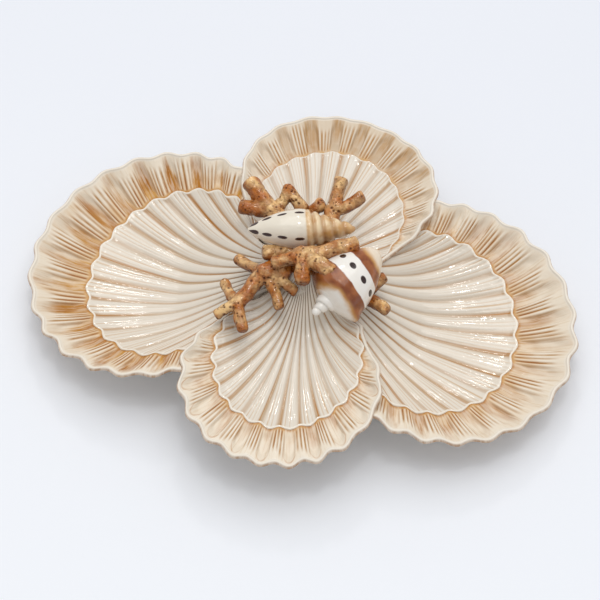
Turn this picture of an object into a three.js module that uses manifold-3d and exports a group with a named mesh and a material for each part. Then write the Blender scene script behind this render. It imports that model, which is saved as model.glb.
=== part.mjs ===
// Four-section shell dish in glazed earthenware: two large and two small scallop sections round a hub,
// each an outer fluted band with an inner ribbed dish, topped with coral sprigs and two snail shells.
// Millimetres. +X runs to the right-hand section, +Y to the back one, +Z up; the table is z = 0.
import * as THREE from 'three';
import { mergeVertices } from 'three/addons/utils/BufferGeometryUtils.js';
import Module from 'manifold-3d';

// Clay and seats
const wall = 4.5;
const seatGap = 0.3;
const restGap = 0.5;
const lipStep = 2;
const lipRoll = 1;
const lipLedge = 3.4;
const rimEdge = 3.4;

// Large sections, measured along (length) and across (width) each section from the dish's centre
const largeRibs = 25;
const largeHinge = 3;
const largeFlare = 0.25;
const largeFan = 122;
const largeBandFan = 122;
const largeFloor = 8.5;
const largeLipCentre = 90;
const largeLipHalfLength = 62.5;
const largeLipHalfWidth = 71;
const largeLipHeight = 31;
const largeLipDrop = 18;
const largeTipCurve = 2.2;
const largeHingeCurve = 1.35;
const largeRimCentre = 102;
const largeRimHalfLength = 90.5;
const largeRimHalfWidth = 95;
const largeRimHeight = 40;
const largeRimDrop = 13;

// Small sections
const smallRibs = 23;
const smallHinge = -2;
const smallFlare = 0.6;
const smallFan = 133;
const smallFloor = 33;
const smallLipCentre = 61.5;
const smallLipHalfLength = 56;
const smallLipHalfWidth = 50;
const smallLipHeight = 39;
const smallBowlCurve = 2;
const smallRimCentre = 84.5;
const smallRimHalfLength = 61.5;
const smallRimHalfWidth = 67;
const smallRimHeight = 43.5;
const smallRimSideRise = 2.9;
const smallHubRise = 25;
const smallHubReach = 45;

// The back section is a little wider than the front one
const backLipHalfWidth = 52.5;
const backRimHalfWidth = 70;

// Relief that all sections share
const ribHeight = 1.8;
const ribRoundness = 0.6;
const ribFade = 0.5;
const lipScallop = 1.4;
const fluteDepth = 1.6;
const rimScallop = 1.5;
const rimWave = 0.5;
const bandEnd = 4.6;
const bandFade = 12;
const bandCurve = 1.25;
const midBand = 0.45;
const rimFoot = 0.86;
const fluteLean = 4;

// Room that a small section takes from the large ones below it
const underRoom = 6;
const cutHeight = 120;
const endGap = 1;

// Bearings of the sections about the hub, in degrees, and their shift to the left of their own axis;
// the right-hand section has a groove on its axis, where the others have a rib
const rightBearing = -2;
const rightShift = 0;
const rightRibTurn = -0.5;
const backBearing = 85.5;
const backShift = 3;
const leftBearing = 182;
const leftShift = 6;
const frontBearing = -87;
const frontShift = 3;

// Hub
const hubRadius = 20;
const hubTop = 61;
const hubShoulder = 55;
const hubWaist = 26;
const hubFootRadius = 31;
const hubFootEdge = 4;
const hubWall = 5;
const hubCrown = 15;
const hubCrownDrop = 1.6;
const hubSides = 24;

// Foot rings under the large dishes
const footCentre = 112;
const footHalfLength = 27;
const footHalfWidth = 24;
const footWidth = 6;
const footSides = 28;

// Snail shells: where the axis starts and ends, the widest radius, and the share of the length
// where the spire with its whorls starts or ends
const coneTip = new THREE.Vector3(-42.5, 11, 70);
const coneSpire = new THREE.Vector3(28.5, 33.5, 67);
const coneRadius = 14;
const coneWhorls = 5;
const coneSpireStart = 0.55;
const snailApex = new THREE.Vector3(16.7, -34.6, 55);
const snailEnd = new THREE.Vector3(48.4, 20, 66.4);
const snailRadius = 22;
const snailWhorls = 4;
const snailSpireEnd = 0.29;
const whorlGroove = 0.16;
const grooveSharpness = 3;
const snailSides = 20;

// Coral limbs: shares of the radius at the rounded start and at the blunt tip
const startRound = 0.8;
const startReach = 0.6;
const tipRound = 0.8;
const tipShoulder = 0.2;
const tipReach = 0.35;
const tipEnd = 0.5;
const limbSides = 8;

// Glazes and bare clay
const creamGlaze = { color: 0xe6dccb, roughness: 0.2 };
const bandGlaze = { color: 0xdcc8a6, roughness: 0.22 };
const footClay = { color: 0xd9cdb9, roughness: 0.6 };
const coralGlaze = { color: 0xb87d3c, roughness: 0.4 };
const coneGlaze = { color: 0xe9dfcd, roughness: 0.15 };
const snailGlaze = { color: 0x9a5a30, roughness: 0.15 };

const wasm = await Module();
wasm.setup();

const radians = THREE.MathUtils.degToRad;

// Sections

const large = {
  ribs: largeRibs, hinge: largeHinge, flare: largeFlare, fan: largeFan, bandFan: largeBandFan,
  floor: largeFloor,
  lipCentre: largeLipCentre, lipLength: largeLipHalfLength, lipWidth: largeLipHalfWidth,
  lipHeight: largeLipHeight, lipDrop: largeLipDrop, tipCurve: largeTipCurve, hingeCurve: largeHingeCurve,
  rimCentre: largeRimCentre, rimLength: largeRimHalfLength, rimWidth: largeRimHalfWidth,
  rimHeight: largeRimHeight, rimDrop: largeRimDrop, rimSideRise: 0, hubRise: 0, hubReach: smallHubReach,
  ribTurn: 0,
};
const small = {
  ribs: smallRibs, hinge: smallHinge, flare: smallFlare, fan: smallFan, bandFan: smallFan, floor: smallFloor,
  lipCentre: smallLipCentre, lipLength: smallLipHalfLength, lipWidth: smallLipHalfWidth,
  lipHeight: smallLipHeight, lipDrop: 0, tipCurve: smallBowlCurve, hingeCurve: smallBowlCurve,
  rimCentre: smallRimCentre, rimLength: smallRimHalfLength, rimWidth: smallRimHalfWidth,
  rimHeight: smallRimHeight, rimDrop: 0, rimSideRise: smallRimSideRise,
  hubRise: smallHubRise, hubReach: smallHubReach, ribTurn: 0,
};
const sections = {
  right: { ...large, bearing: rightBearing, shift: rightShift, ribTurn: rightRibTurn },
  left: { ...large, bearing: leftBearing, shift: leftShift },
  front: { ...small, bearing: frontBearing, shift: frontShift },
  back: {
    ...small, lipWidth: backLipHalfWidth, rimWidth: backRimHalfWidth, bearing: backBearing, shift: backShift,
  },
};

// A section's own (along, across, height) to the dish's frame
function place(section, along, across, height) {
  const turn = radians(section.bearing);
  const side = across + section.shift;
  return new THREE.Vector3(
    along * Math.cos(turn) - side * Math.sin(turn),
    along * Math.sin(turn) + side * Math.cos(turn),
    height,
  );
}

// Distance from the lip's centre to an ellipse about the section's axis, along a polar angle
function reach(section, centre, halfLength, halfWidth, angle) {
  const c = Math.cos(angle) / halfLength;
  const s = Math.sin(angle) / halfWidth;
  const offset = (section.lipCentre - centre) / halfLength;
  const a = c * c + s * s;
  const b = offset * c;
  return (-b + Math.sqrt(b * b - a * (offset * offset - 1))) / a;
}

function lipReach(section, angle) {
  return reach(section, section.lipCentre, section.lipLength, section.lipWidth, angle);
}

// The rim runs outside the lip all round: near the hinge it dies out to a narrow welt
function rimReach(section, angle) {
  const outer = reach(section, section.rimCentre, section.rimLength, section.rimWidth, angle);
  return Math.max(outer, lipReach(section, angle) + bandEnd);
}

function lipHeightAt(section, angle) {
  return section.lipHeight - section.lipDrop * Math.cos(angle);
}

// How far the band stands out at an ellipse angle: one where it is broad, nought where it has died away
function bandStrength(section, angle) {
  const polar = polarAngle(section, angle);
  return Math.min(1, (rimReach(section, polar) - lipReach(section, polar) - bandEnd) / bandFade);
}

// The rim drops to the lip's height where the band dies away
function rimHeightAt(section, angle) {
  const sides = section.rimSideRise * Math.cos(2 * angle);
  const full = section.rimHeight - section.rimDrop * Math.cos(angle) - sides;
  return THREE.MathUtils.lerp(lipHeightAt(section, angle), full, bandStrength(section, angle));
}

// Height of the smooth dish before its ribs: a flat floor that climbs to the lip and up the hub
function dishHeight(section, along, across) {
  const x = (along - section.lipCentre) / section.lipLength;
  const y = across / section.lipWidth;
  const toLip = Math.hypot(x, y);
  const angle = Math.atan2(y, x);
  const towardHinge = (1 - Math.cos(angle)) / 2;
  const curve = section.tipCurve + (section.hingeCurve - section.tipCurve) * towardHinge;
  const toHub = Math.min(Math.hypot(along, across) / section.hubReach, 1);
  const climb = (lipHeightAt(section, angle) - section.floor) * toLip ** curve;
  return section.floor + climb + section.hubRise * (1 + Math.cos(Math.PI * toHub)) / 2;
}

// Rib columns: a groove, then the two shoulders of the rib beside it
const grooveAndShoulders = [-0.5, -0.2, 0.2];
const grooveOnly = [-0.5];

function ribColumns(section, fan, steps) {
  const last = Math.round(fan * section.ribs / 360 - 0.5);
  const pitch = 2 * Math.PI / section.ribs;
  const column = (rib, step) => ({ angle: pitch * (rib + step + section.ribTurn), step });
  const columns = [];
  for (let rib = -last; rib <= last; rib += 1) {
    for (const step of steps) columns.push(column(rib, step));
  }
  columns.push(column(last + 1, steps[0]));
  return columns;
}

// The same columns with one more just past each end, for room round a section's ends
function withEndGaps(columns) {
  const first = columns[0];
  const last = columns[columns.length - 1];
  return [
    { ...first, angle: first.angle - radians(endGap) },
    ...columns,
    { ...last, angle: last.angle + radians(endGap) },
  ];
}

// Share of the full rib height at a column: nought in the groove, one on the crest
function ribShare(step) {
  return (0.5 + 0.5 * Math.cos(2 * Math.PI * step)) ** ribRoundness;
}

// A point on the rib line that ends on the lip at an angle; ribs leave the hinge close together and flare
function ribPoint(section, angle, share) {
  const lipAlong = section.lipCentre + section.lipLength * Math.cos(angle);
  const along = section.hinge + (lipAlong - section.hinge) * share;
  const across = section.lipWidth * Math.sin(angle) * (share - section.flare * share * (1 - share));
  return { along, across };
}

// Polar angle about the lip's centre of the lip point at an ellipse angle
function polarAngle(section, angle) {
  return Math.atan2(section.lipWidth * Math.sin(angle), section.lipLength * Math.cos(angle));
}

function lipPoint(section, angle, out) {
  const polar = polarAngle(section, angle);
  const distance = lipReach(section, polar) + out;
  return { along: section.lipCentre + distance * Math.cos(polar), across: distance * Math.sin(polar) };
}

function indexed(points, index) {
  const geometry = new THREE.BufferGeometry();
  const positions = points.flatMap((p) => [p.x, p.y, p.z]);
  geometry.setAttribute('position', new THREE.Float32BufferAttribute(positions, 3));
  geometry.setIndex(index);
  return geometry;
}

// Solids from a row of like cross-sections, closed at both ends

function loft(loops, flat) {
  const count = loops[0].length;
  const index = [];
  for (let i = 0; i + 1 < loops.length; i += 1) {
    for (let j = 0; j < count; j += 1) {
      const k = (j + 1) % count;
      const a = i * count + j;
      const b = i * count + k;
      index.push(a, b, a + count, b, b + count, a + count);
    }
  }
  const last = (loops.length - 1) * count;
  const [near, far] = flat.map((outline) => THREE.ShapeUtils.triangulateShape(outline, []));
  for (const [a, b, c] of near) index.push(a, b, c);
  for (const [a, b, c] of far) index.push(last + a, last + c, last + b);
  return indexed(loops.flat(), index);
}

function toSolid(geometry) {
  const bare = geometry.clone();
  bare.deleteAttribute('normal');
  bare.deleteAttribute('uv');
  const merged = mergeVertices(bare, 1e-4);
  return new wasm.Manifold(new wasm.Mesh({
    numProp: 3,
    vertProperties: new Float32Array(merged.attributes.position.array),
    triVerts: new Uint32Array(merged.index.array),
  }));
}

function toGeometry(solid) {
  const mesh = solid.getMesh();
  const geometry = new THREE.BufferGeometry();
  geometry.setAttribute('position', new THREE.Float32BufferAttribute(mesh.vertProperties, 3));
  geometry.setIndex(new THREE.Uint32BufferAttribute(mesh.triVerts, 1));
  return geometry;
}

// Each column's cross-section is drawn in the plane of its rib line, then set in the dish's frame
function loftSection(section, profiles) {
  const loops = profiles.map((profile) => profile.map((p) => place(section, p.along, p.across, p.height)));
  const flats = [profiles[0], profiles[profiles.length - 1]].map((profile) => {
    const first = profile[0];
    return profile.map((p) => new THREE.Vector2(
      Math.hypot(p.along - first.along, p.across - first.across),
      p.height,
    ));
  });
  return loft(loops, flats);
}

// Inner dishes: rows of points along each rib line, from under the hub's edge out to the lip

const dishRows = [0, 0.2, 0.42, 0.66, 0.87];
const underRows = [0.87, 0.45, 0];
const hubLap = 2;
const lipRow = 0.98;

function rowShare(section, angle, row) {
  const lip = ribPoint(section, angle, 1);
  const start = (hubRadius - hubLap) / Math.hypot(lip.along - section.hinge, lip.across);
  return start + (lipRow - start) * row;
}

function dishTop(section, { angle, step }, lift) {
  const groove = ribHeight * (1 - ribShare(step));
  return dishRows.map((row) => {
    const share = rowShare(section, angle, row);
    const p = ribPoint(section, angle, share);
    const depth = groove * Math.min(1, share / ribFade);
    return { ...p, height: dishHeight(section, p.along, p.across) - depth + lift };
  });
}

function dishUnderside(section, angle, drop) {
  return underRows.map((row) => {
    const p = ribPoint(section, angle, rowShare(section, angle, row));
    return { ...p, height: dishHeight(section, p.along, p.across) - wall - drop };
  });
}

function lipScallopAt(step) {
  return lipScallop * (2 * ribShare(step) - 1);
}

function dishProfile(section, column) {
  const { angle, step } = column;
  const height = lipHeightAt(section, angle);
  const seat = height - lipStep;
  return [
    ...dishTop(section, column, 0),
    { ...lipPoint(section, angle, lipScallopAt(step)), height },
    { ...lipPoint(section, angle, lipScallopAt(step) + lipRoll), height: seat },
    { ...lipPoint(section, angle, -lipLedge), height: seat },
    ...dishUnderside(section, angle, 0),
  ];
}

function loftColumns(section, columns, profileAt) {
  return loftSection(section, columns.map((column) => profileAt(section, column)));
}

// Outer bands: a flat seat under the dish's lip, then a fluted slope up to the scalloped rim

function seatPoint(section, angle) {
  return lipPoint(section, angle, seatGap - lipLedge);
}

function bandPoint(section, angle, share, out) {
  const polar = polarAngle(section, angle);
  const lean = polar - radians(fluteLean) * Math.sin(polar) * bandStrength(section, angle);
  const from = lipPoint(section, angle, lipScallop + lipRoll + seatGap);
  const to = rimReach(section, lean) + out;
  return {
    along: from.along + (section.lipCentre + to * Math.cos(lean) - from.along) * share,
    across: from.across + (to * Math.sin(lean) - from.across) * share,
  };
}

function seatHeight(section, angle) {
  return lipHeightAt(section, angle) - lipStep - seatGap;
}

function bandHeight(section, angle, share) {
  const seat = seatHeight(section, angle);
  return seat + (rimHeightAt(section, angle) - seat) * share ** bandCurve;
}

function bandUnderside(section, angle, out, drop, seatDrop) {
  return [
    { ...bandPoint(section, angle, 1, out), height: bandHeight(section, angle, 1) - rimEdge - drop },
    { ...bandPoint(section, angle, midBand, 0), height: bandHeight(section, angle, midBand) - wall - drop },
    { ...seatPoint(section, angle), height: seatHeight(section, angle) - wall - seatDrop },
  ];
}

// Scallops of the rim, which flatten out where the band dies away
function rimScallopAt(section, { angle, step }) {
  return rimScallop * (2 * ribShare(step) - 1) * bandStrength(section, angle);
}

function bandProfile(section, column) {
  const { angle, step } = column;
  const strength = bandStrength(section, angle);
  const out = rimScallopAt(section, column);
  const flute = fluteDepth * ribShare(step) * strength;
  const rim = bandHeight(section, angle, 1) - rimWave * (2 * ribShare(step) - 1) * strength;
  return [
    { ...seatPoint(section, angle), height: seatHeight(section, angle) },
    { ...bandPoint(section, angle, 0, 0), height: seatHeight(section, angle) },
    { ...bandPoint(section, angle, midBand, 0), height: bandHeight(section, angle, midBand) - flute },
    { ...bandPoint(section, angle, rimFoot, out), height: bandHeight(section, angle, rimFoot) - flute },
    { ...bandPoint(section, angle, 1, out), height: rim },
    ...bandUnderside(section, angle, out, 0, 0),
  ];
}

// Everything above a small section's underside, a seat gap clear of it: the large sections are cut by it

function dishRoom(section, { angle, step }) {
  const under = dishUnderside(section, angle, underRoom);
  const toe = lipPoint(section, angle, lipScallopAt(step) + lipRoll + seatGap);
  return [
    { ...under[under.length - 1], height: cutHeight },
    { ...toe, height: cutHeight },
    { ...toe, height: seatHeight(section, angle) },
    ...under,
  ];
}

function bandRoom(section, column) {
  const out = rimScallopAt(section, column) + seatGap;
  const under = bandUnderside(section, column.angle, out, seatGap, underRoom);
  return [
    { ...under[under.length - 1], height: cutHeight },
    { ...under[0], height: cutHeight },
    ...under,
  ];
}

// Everything below a dish's ribs, a rest gap above their crests: what rests on the dish is cut by it

function seatRoom(section, { angle }) {
  const top = dishTop(section, { angle, step: 0 }, restGap);
  const lip = lipPoint(section, angle, lipScallop);
  return [
    ...top,
    { ...lip, height: lipHeightAt(section, angle) + restGap },
    { ...lip, height: 0 },
    { ...top[0], height: 0 },
  ];
}

// Hub: a hollow pillar with a rounded top, open underneath

function turned(profile, sides) {
  return new THREE.LatheGeometry(profile.map(([x, y]) => new THREE.Vector2(x, y)), sides);
}

function hubOutside(grow) {
  return [
    [hubFootRadius, 0], [hubFootRadius, hubFootEdge], [hubRadius + grow, hubWaist],
    [hubRadius + grow, hubShoulder], [hubCrown, hubTop - hubCrownDrop + grow], [0, hubTop + grow],
  ];
}

function hubGeometry() {
  const inside = hubRadius - hubWall;
  return turned([
    [0, hubTop - hubWall], [inside, hubShoulder - hubWall], [inside, hubWaist], [hubFootRadius - hubWall, 0],
    ...hubOutside(0),
  ], hubSides).rotateX(Math.PI / 2);
}

// The hub as a solid, a seat gap larger, and as a shaft that runs on upward
const hubCore = toSolid(turned([[0, 0], ...hubOutside(seatGap)], hubSides).rotateX(Math.PI / 2));
const shaft = hubRadius + seatGap;
const hubShaft = toSolid(turned([
  [0, 0], [hubFootRadius, 0], [hubFootRadius, hubFootEdge],
  [shaft, hubWaist], [shaft, cutHeight], [0, cutHeight],
], hubSides).rotateX(Math.PI / 2));

// Foot rings, drawn up to the underside of the dish above them

function footPoint(angle, grow) {
  return {
    along: footCentre + (footHalfLength - footWidth + grow) * Math.cos(angle),
    across: (footHalfWidth - footWidth + grow) * Math.sin(angle),
  };
}

function footRing(section) {
  const seat = (p) => dishHeight(section, p.along, p.across) - wall - seatGap;
  const loops = [];
  for (let i = 0; i < footSides; i += 1) {
    const angle = -2 * Math.PI * i / footSides;
    const inner = footPoint(angle, 0);
    const outer = footPoint(angle, footWidth);
    loops.push([
      place(section, inner.along, inner.across, 0),
      place(section, inner.along, inner.across, seat(inner)),
      place(section, outer.along, outer.across, seat(outer)),
      place(section, outer.along, outer.across, 0),
    ]);
  }
  return ring(loops);
}

function ring(loops) {
  const count = loops[0].length;
  const index = [];
  loops.forEach((loop, i) => {
    const next = ((i + 1) % loops.length) * count;
    for (let j = 0; j < count; j += 1) {
      const k = (j + 1) % count;
      index.push(i * count + j, next + j, i * count + k, i * count + k, next + j, next + k);
    }
  });
  return indexed(loops.flat(), index);
}

// Snail shells: a turned profile whose whorls wind round the axis, with a groove between them

function snailGeometry({ from, to, radius, profile, steps, whorls, hasGroove, grow }) {
  const sides = snailSides;
  const curve = new THREE.SplineCurve(profile.map(([x, y]) => new THREE.Vector2(x, y * radius)));
  const axis = to.clone().sub(from);
  const length = axis.length();
  const upright = new THREE.Vector3(0, 0, 1);
  const turn = new THREE.Quaternion().setFromUnitVectors(upright, axis.clone().normalize());
  const set = (x, y, z) => new THREE.Vector3(x, y, z).applyQuaternion(turn).add(from);
  const points = [set(0, 0, -grow)];
  for (let i = 1; i < steps; i += 1) {
    const p = curve.getPoint(i / steps);
    for (let j = 0; j < sides; j += 1) {
      const angle = 2 * Math.PI * j / sides;
      const wind = whorls(p.x) - j / sides;
      const groove = hasGroove(p.x) ? whorlGroove * Math.abs(Math.cos(Math.PI * wind)) ** grooveSharpness : 0;
      const r = p.y * (1 - groove) + grow;
      points.push(set(r * Math.cos(angle), r * Math.sin(angle), p.x * length));
    }
  }
  points.push(set(0, 0, length + grow));
  const index = [];
  const last = points.length - 1;
  for (let j = 0; j < sides; j += 1) {
    const k = (j + 1) % sides;
    index.push(0, 1 + k, 1 + j, last, last - sides + j, last - sides + k);
    for (let i = 0; i + 2 < steps; i += 1) {
      const a = 1 + i * sides;
      index.push(a + j, a + k, a + sides + j, a + k, a + sides + k, a + sides + j);
    }
  }
  return indexed(points, index);
}

// Profiles: share of the length along the axis, share of the widest radius
function coneShell(grow) {
  return snailGeometry({
    from: coneTip, to: coneSpire, radius: coneRadius, steps: 20, grow,
    profile: [
      [0, 0], [0.1, 0.4], [0.25, 0.74], [0.37, 0.93], [0.47, 1], [0.54, 0.95], [0.7, 0.7], [0.85, 0.44],
      [0.95, 0.26], [1, 0],
    ],
    whorls: (x) => coneWhorls * Math.max(0, x - coneSpireStart) / (1 - coneSpireStart),
    hasGroove: (x) => x > coneSpireStart,
  });
}

function bandedSnail(grow) {
  return snailGeometry({
    from: snailApex, to: snailEnd, radius: snailRadius, steps: 26, grow,
    profile: [
      [0, 0], [0.04, 0.15], [0.09, 0.24], [0.14, 0.36], [0.2, 0.6], [0.26, 0.83], [0.3, 0.95], [0.36, 1],
      [0.44, 0.99], [0.52, 0.95], [0.64, 0.83], [0.76, 0.68], [0.88, 0.46], [0.96, 0.26], [1, 0],
    ],
    whorls: (x) => snailWhorls * Math.min(x / snailSpireEnd, 1),
    hasGroove: (x) => x < snailSpireEnd,
  });
}

// Coral: tapered limbs with blunt ends, joined where they fork

function limb(from, to, fromRadius, toRadius, grow) {
  const axis = to.clone().sub(from);
  const length = axis.length();
  const a = fromRadius + grow;
  const b = toRadius + grow;
  const profile = [
    [0, -a], [a * startRound, -a * startReach], [a, 0],
    [b, length - b * tipShoulder], [b * tipRound, length + b * tipReach], [0, length + b * tipEnd],
  ];
  const turn = new THREE.Quaternion().setFromUnitVectors(new THREE.Vector3(0, 1, 0), axis.normalize());
  return turned(profile, limbSides).applyQuaternion(turn).translate(from.x, from.y, from.z);
}

// Each sprig: its joints by name, then its limbs from joint to joint with the radius at each end
const sprigs = {
  coral_centre: {
    joints: {
      root: [2, 0, 60], fork: [1, -4, 75], left: [-16, -11, 71], stub: [5.5, -20, 72],
      low: [23, -12, 77.5], high: [31.5, 15, 75],
    },
    limbs: [
      ['root', 'fork', 7, 5.5], ['fork', 'left', 5, 4.2], ['fork', 'stub', 5, 4.6],
      ['fork', 'low', 5, 4.4], ['fork', 'high', 5.5, 5],
    ],
  },
  coral_front_left: {
    joints: {
      root: [-13, -8, 60], fork: [-24, -14, 60], tip: [-45, -3, 52], mid: [-35, -39, 54],
      left: [-50, -21.5, 47], low: [-47, -48, 49], front: [-27, -56, 51], drop: [-8, -32, 51],
      inner: [-1, -19, 54],
    },
    limbs: [
      ['root', 'fork', 6, 5.5], ['fork', 'tip', 4.6, 3.6], ['fork', 'mid', 5.4, 4.6],
      ['mid', 'left', 4, 3], ['mid', 'low', 4.2, 3], ['mid', 'front', 4.4, 3.4],
      ['fork', 'drop', 4.6, 3.2], ['fork', 'inner', 4.6, 3.2],
    ],
  },
  coral_left_stub: {
    joints: { root: [-12, 8, 58], tip: [-26, 2.5, 60] },
    limbs: [['root', 'tip', 5.4, 5]],
  },
  coral_back_left: {
    joints: {
      root: [-13, 17, 56.5], fork: [-30, 37, 58], high: [-52, 52, 65], low: [-53, 36, 59],
      rise: [-28, 43, 61], arch: [-25, 54, 67], foot: [-13, 45, 61],
    },
    limbs: [
      ['root', 'fork', 6, 5.6], ['fork', 'high', 5.6, 5.6], ['fork', 'low', 5, 4.6],
      ['fork', 'rise', 5, 3.8], ['rise', 'arch', 3.8, 4], ['arch', 'foot', 4, 4.4],
    ],
  },
  coral_back_middle: {
    joints: { root: [-3, 20, 53], bend: [-7, 47, 56], tip: [-1, 52, 60] },
    limbs: [['root', 'bend', 5, 4.2], ['bend', 'tip', 4.2, 4]],
  },
  coral_back_right: {
    joints: { root: [10, 18, 54], fork: [8, 48, 61], high: [9, 68, 70], low: [25, 60, 68] },
    limbs: [['root', 'fork', 6, 5], ['fork', 'high', 4.8, 4.2], ['fork', 'low', 4.6, 4]],
  },
  coral_right: {
    joints: { root: [41, 0, 40], upper: [54, 12, 47], lower: [62, -12, 46] },
    limbs: [['root', 'upper', 5.4, 3.6], ['root', 'lower', 5.4, 3.4]],
  },
};

function sprigSolid({ joints, limbs }, grow) {
  const at = (name) => new THREE.Vector3(...joints[name]);
  return limbs
    .map(([from, to, a, b]) => toSolid(limb(at(from), at(to), a, b, grow)))
    .reduce((whole, next) => whole.add(next));
}

// The dish

const dish = new THREE.Group();

function add(name, geometry, glaze) {
  const mesh = new THREE.Mesh(geometry, new THREE.MeshStandardMaterial({ ...glaze, metalness: 0 }));
  mesh.name = name;
  dish.add(mesh);
}

const cut = (solid, tools) => tools.reduce((rest, tool) => rest.subtract(tool), solid);

const isLarge = (side) => side === 'left' || side === 'right';
const smallRooms = [sections.front, sections.back].flatMap((section) => (
  [dishRoom, bandRoom].map((room) => {
    const columns = ribColumns(section, section.fan, grooveAndShoulders);
    return toSolid(loftColumns(section, withEndGaps(columns), room));
  })
));
for (const [side, section] of Object.entries(sections)) {
  const tools = isLarge(side) ? [hubShaft, ...smallRooms] : [hubShaft];
  const bandColumns = ribColumns(section, section.bandFan, grooveAndShoulders);
  const dishColumns = ribColumns(section, section.fan, grooveAndShoulders);
  const band = toSolid(loftColumns(section, bandColumns, bandProfile));
  const bowl = toSolid(loftColumns(section, dishColumns, dishProfile));
  add(`${side}_outer_shell`, toGeometry(cut(band, tools)), bandGlaze);
  add(`${side}_inner_shell`, toGeometry(cut(bowl, tools)), creamGlaze);
  if (isLarge(side)) add(`${side}_foot`, footRing(section), footClay);
}
add('hub', hubGeometry(), creamGlaze);

const seats = [hubCore, ...Object.values(sections).map((section) => (
  toSolid(loftColumns(section, withEndGaps(ribColumns(section, section.fan, grooveOnly)), seatRoom))
))];
add('cone_shell', toGeometry(cut(toSolid(coneShell(0)), seats)), coneGlaze);
add('banded_snail', toGeometry(cut(toSolid(bandedSnail(0)), seats)), snailGlaze);

seats.push(toSolid(coneShell(seatGap)), toSolid(bandedSnail(seatGap)));
for (const [name, sprig] of Object.entries(sprigs)) {
  add(name, toGeometry(cut(sprigSolid(sprig, 0), seats)), coralGlaze);
  seats.push(sprigSolid(sprig, seatGap));
}

export default dish;
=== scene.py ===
import math

import bpy
import numpy as np
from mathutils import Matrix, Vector


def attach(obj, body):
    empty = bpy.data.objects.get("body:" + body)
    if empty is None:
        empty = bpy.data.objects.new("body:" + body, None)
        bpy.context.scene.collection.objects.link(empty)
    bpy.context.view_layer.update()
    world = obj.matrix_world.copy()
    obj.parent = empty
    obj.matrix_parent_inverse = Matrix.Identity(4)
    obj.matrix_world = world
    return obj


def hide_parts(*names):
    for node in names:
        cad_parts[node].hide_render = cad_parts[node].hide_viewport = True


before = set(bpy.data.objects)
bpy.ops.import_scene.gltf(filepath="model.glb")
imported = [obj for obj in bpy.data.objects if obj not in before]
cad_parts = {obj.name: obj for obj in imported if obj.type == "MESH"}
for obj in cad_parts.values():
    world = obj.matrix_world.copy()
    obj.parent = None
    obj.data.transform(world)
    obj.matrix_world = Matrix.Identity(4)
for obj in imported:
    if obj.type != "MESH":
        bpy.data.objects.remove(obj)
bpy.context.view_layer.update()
mm = 0.001
print("frame loaded")

# Sizes in millimetres, the main ones as in the solids

clay = {
    "wall": 4.5, "gap": 0.3, "lipStep": 0.5, "lipRoll": 0.8, "welt": 2.2, "weltBlend": 3.0,
    "bandGone": 2.5, "bandBroad": 16.0, "bandCurve": 1.25,
}
ducking = {"from": -0.5, "to": 3.5, "top": 0.2, "bead": 0.4, "ledge": 0.6, "under": 0.8}
large = {
    "ribs": 25, "hinge": 3.0, "flare": 0.25, "fan": 8.5, "bandFan": 9.5, "start": 18.0, "floor": 8.5,
    "lipCentre": 90.0, "lipLength": 62.5, "lipWidth": 71.0, "lipHeight": 31.0, "lipDrop": 18.0,
    "rimCentre": 102.0, "rimLength": 90.5, "rimWidth": 95.0, "rimHeight": 40.0, "rimDrop": 13.0,
    "rimSide": 0.0, "tipCurve": 2.2, "hingeCurve": 1.35, "hubRise": 0.0, "hubReach": 45.0,
    "lipScallop": 1.5, "lipWhite": 1.0, "ducks": True,
}
small = {
    "ribs": 23, "hinge": -2.0, "flare": 0.6, "fan": 8.5, "bandFan": 8.5, "start": 9.0, "floor": 33.0,
    "lipCentre": 61.5, "lipLength": 56.0, "lipWidth": 50.0, "lipHeight": 39.0, "lipDrop": 0.0,
    "rimCentre": 84.5, "rimLength": 61.5, "rimWidth": 67.0, "rimHeight": 43.5, "rimDrop": 0.0,
    "rimSide": 2.9, "tipCurve": 2.0, "hingeCurve": 2.0, "hubRise": 25.0, "hubReach": 45.0,
    "lipScallop": 1.5, "lipWhite": 1.0, "ducks": False,
}

# Bearing in degrees, shift, first rib and seed, then the stain: how far it pools, how rich, how much
# painted shade the band gets, with tan in its flutes, how plain the flutes' outlines, and how wavy the rim
sections = {
    "right": {**large, "bearing": -2.0, "shift": 0.0, "phase": 0.5, "seed": 11,
              "pool": 0.48, "rich": 0.92, "scoop": 0.1, "ring": 0.15, "wavy": 1.6},
    "left": {**large, "bearing": 182.0, "shift": 6.0, "phase": 0.0, "seed": 12,
             "pool": 0.62, "rich": 1.4, "scoop": 0.22, "ring": 0.1, "wavy": 1.6},
    "front": {**small, "bearing": -87.0, "shift": 3.0, "phase": 0.0, "seed": 13,
              "pool": 0.36, "rich": 0.85, "scoop": 0.05, "ring": 0.8, "wavy": 1.6},
    "back": {**small, "bearing": 85.5, "shift": 3.0, "phase": 0.0, "seed": 14,
             "pool": 0.15, "rich": 0.7, "scoop": 0.9, "ring": 0.1, "wavy": 1.0,
             "lipCentre": 61.0, "lipLength": 53.5, "lipWidth": 53.0, "rimWidth": 70.0,
             "lipScallop": 0.8, "lipWhite": 0.52},
}


# Eased step from 0 at a to 1 at b
def smoothStep(a, b, x):
    t = np.clip((x - a) / (b - a), 0.0, 1.0)
    return t * t * (3.0 - 2.0 * t)


# Smooth random waves: a sum of sines with random directions and phases, about -1 to 1
def waves(x, y, seed, count=6):
    rng = np.random.default_rng(seed)
    angles = rng.uniform(0, 2 * np.pi, count)
    speeds = rng.uniform(0.6, 1.6, count)
    phases = rng.uniform(0, 2 * np.pi, count)
    total = np.zeros(np.broadcast(x, y).shape)
    for angle, speed, phase in zip(angles, speeds, phases):
        total = total + np.sin(speed * (x * np.cos(angle) + y * np.sin(angle)) + phase)
    return total / np.sqrt(count * 2.0)


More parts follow.
